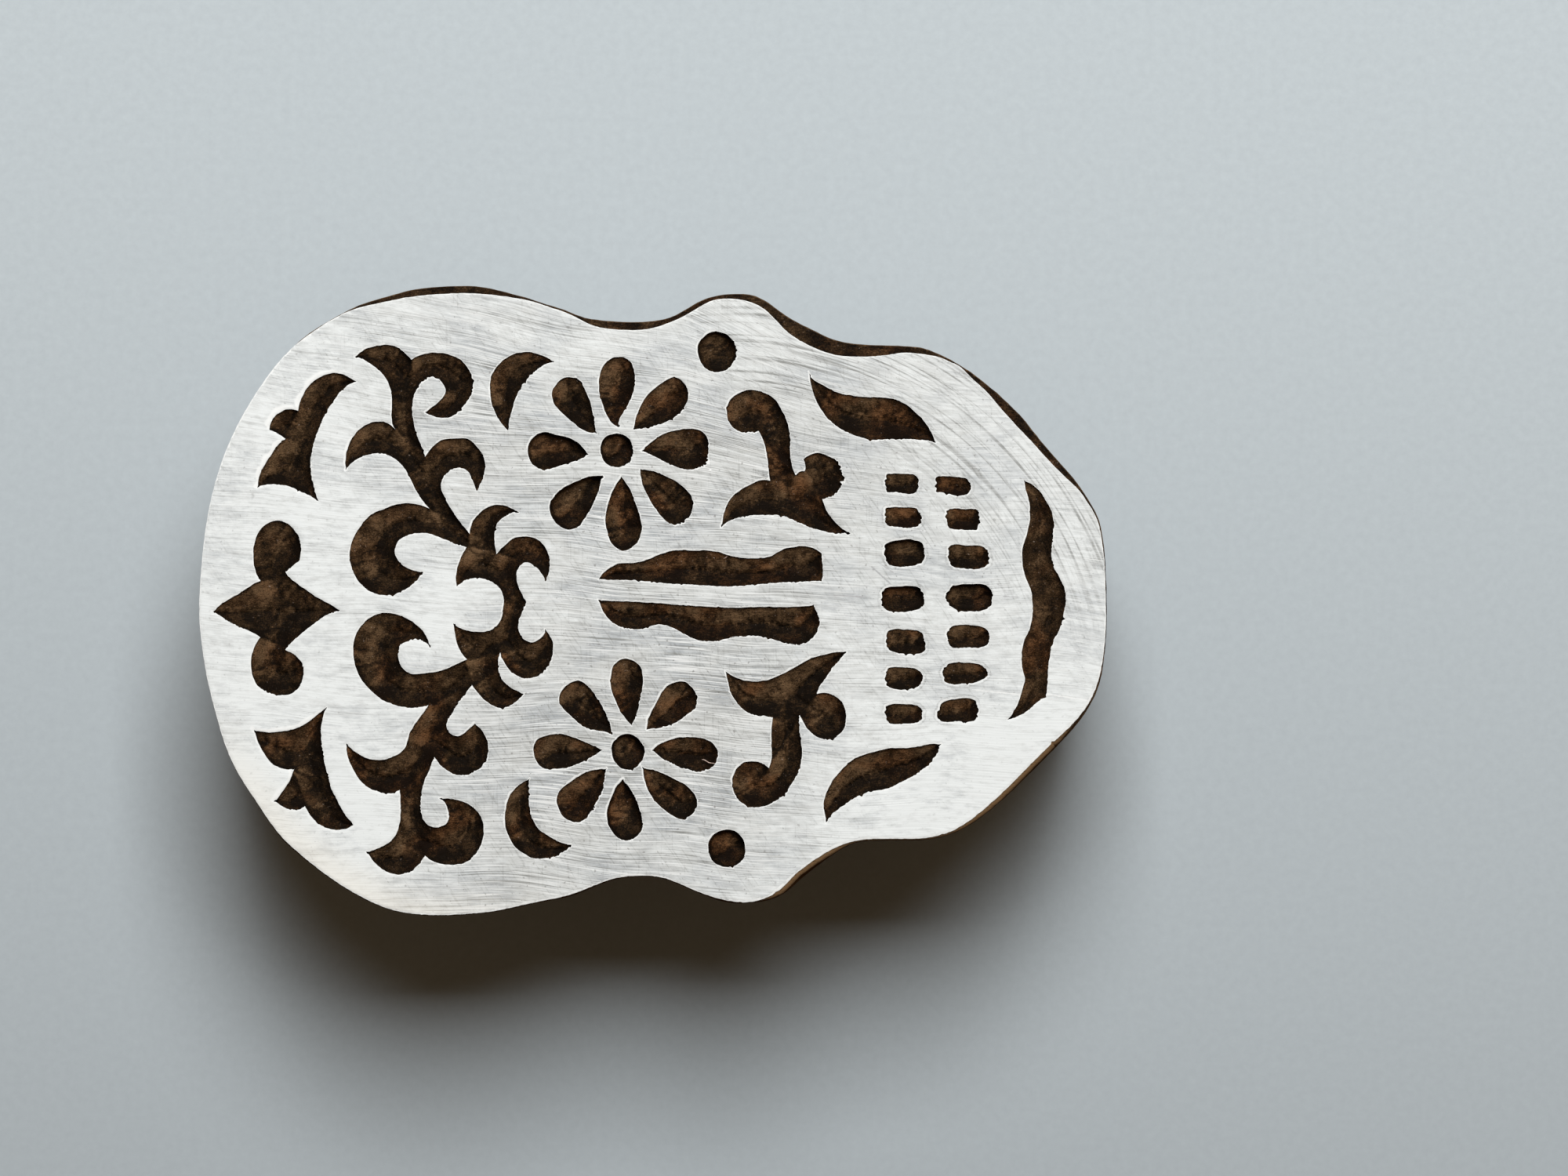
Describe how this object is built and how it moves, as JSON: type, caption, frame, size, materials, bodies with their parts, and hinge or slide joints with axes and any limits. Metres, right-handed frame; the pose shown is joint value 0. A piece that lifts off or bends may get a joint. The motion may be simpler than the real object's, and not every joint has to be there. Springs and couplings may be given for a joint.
{
  "type": "wooden textile printing block",
  "caption": "Hand printing block: a carved face board with a white ground, glued over cross-grained boards, with a waisted grip let into the back and held by screws.",
  "frame": {"origin": "middle of the sawn block's outline, on the surface that the grip rests on", "axes": "+Z out of the printing face, +X along the block's length towards the end with the long wave cut, +Y across it"},
  "size_m": [0.115, 0.08, 0.0503],
  "materials": {
    "white_ground": "brushed matt white chalk ground, worn thin along the grain",
    "carved_hardwood": "dark brown hardwood, hand carved, dry",
    "cross_grain_wood": "sawn and sanded brown wood, grain across",
    "backing_wood": "sawn and sanded brown wood",
    "peg_wood": "pale turned dowel",
    "grip_wood": "hand worn oiled hardwood",
    "screw_brass": "dull tarnished brass"
  },
  "bodies": {
    "root": {"ground_coat": "white_ground", "face_board": "carved_hardwood", "cross_board": "cross_grain_wood", "back_board": "backing_wood", "dowel_pegs": "peg_wood", "handle": "grip_wood", "handle_screws": "screw_brass"}
  },
  "joints": []
}
